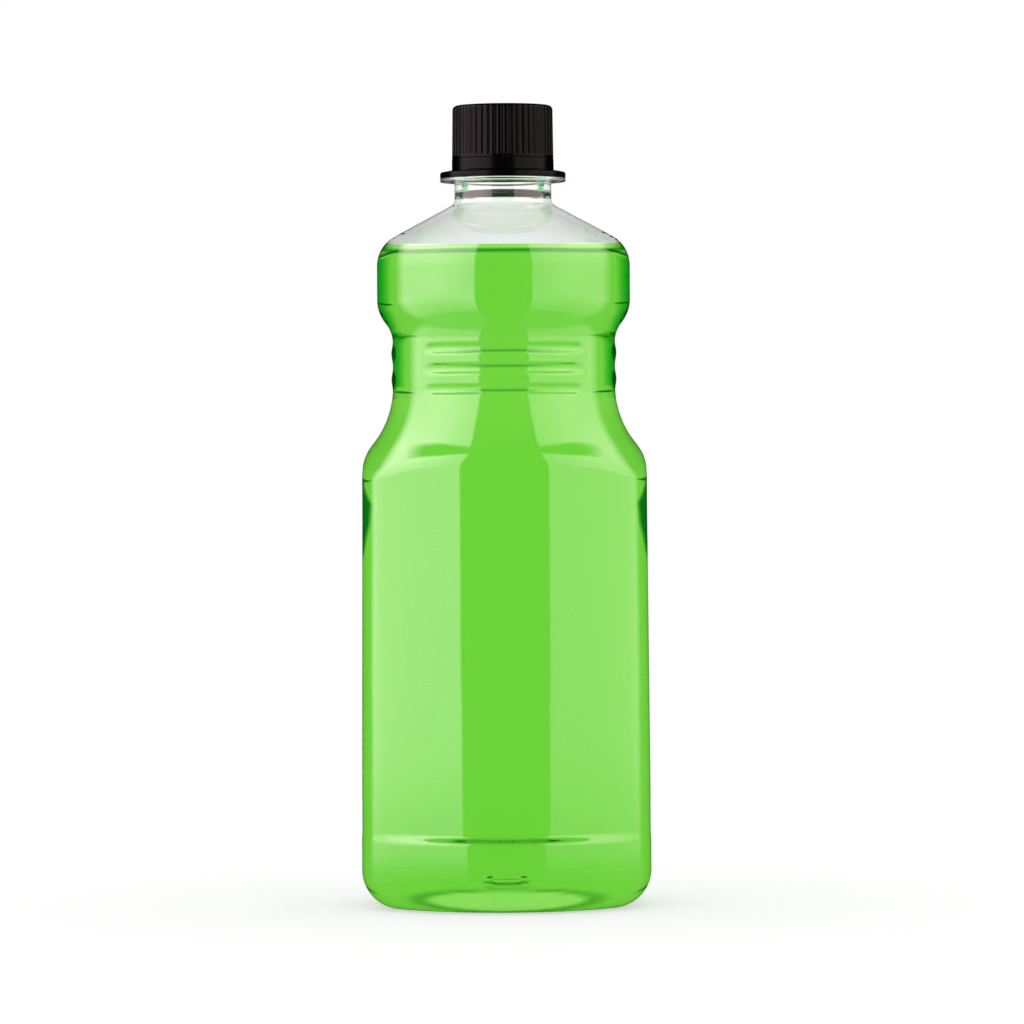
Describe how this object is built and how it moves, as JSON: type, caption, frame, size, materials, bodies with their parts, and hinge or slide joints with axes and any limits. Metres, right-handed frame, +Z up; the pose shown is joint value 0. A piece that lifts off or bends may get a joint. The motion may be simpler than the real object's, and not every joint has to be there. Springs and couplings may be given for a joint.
{
  "type": "car shampoo bottle",
  "caption": "Clear blown plastic bottle of green car shampoo with a grooved grip, a squarish body with recessed label panels, and a black ribbed screw cap over a tamper band.",
  "frame": {"origin": "middle of the standing plane, under the neck axis", "axes": "+Z up along the neck axis, +X to the right and -Y towards the viewer of the front panel"},
  "size_m": [0.086, 0.0858, 0.2394],
  "materials": {
    "clear_pet": "clear, glossy, blow moulded",
    "green_liquid": "clear bright green liquid",
    "black_plastic": "black moulded, satin",
    "liner_foam": "white foam sheet"
  },
  "bodies": {
    "bottle": {"bottle": "clear_pet", "shampoo": "green_liquid", "tamper_band": "black_plastic"},
    "liner": {"cap_liner": "liner_foam"},
    "cap": {"cap": "black_plastic"}
  },
  "joints": [
    {"name": "cap_lift", "type": "slide", "parent": "bottle", "child": "liner", "axis": [0, 0, 1], "range_m": [0, 0.0159]},
    {"name": "cap_turn", "type": "hinge", "parent": "liner", "child": "cap", "pos_m": [0, 0, 0.23], "axis": [0, 0, 1], "range_deg": [0, 1800]}
  ],
  "couplings": [
    {"joint": "cap_turn", "follows": "cap_lift", "rad_per_m": 1975.8}
  ]
}
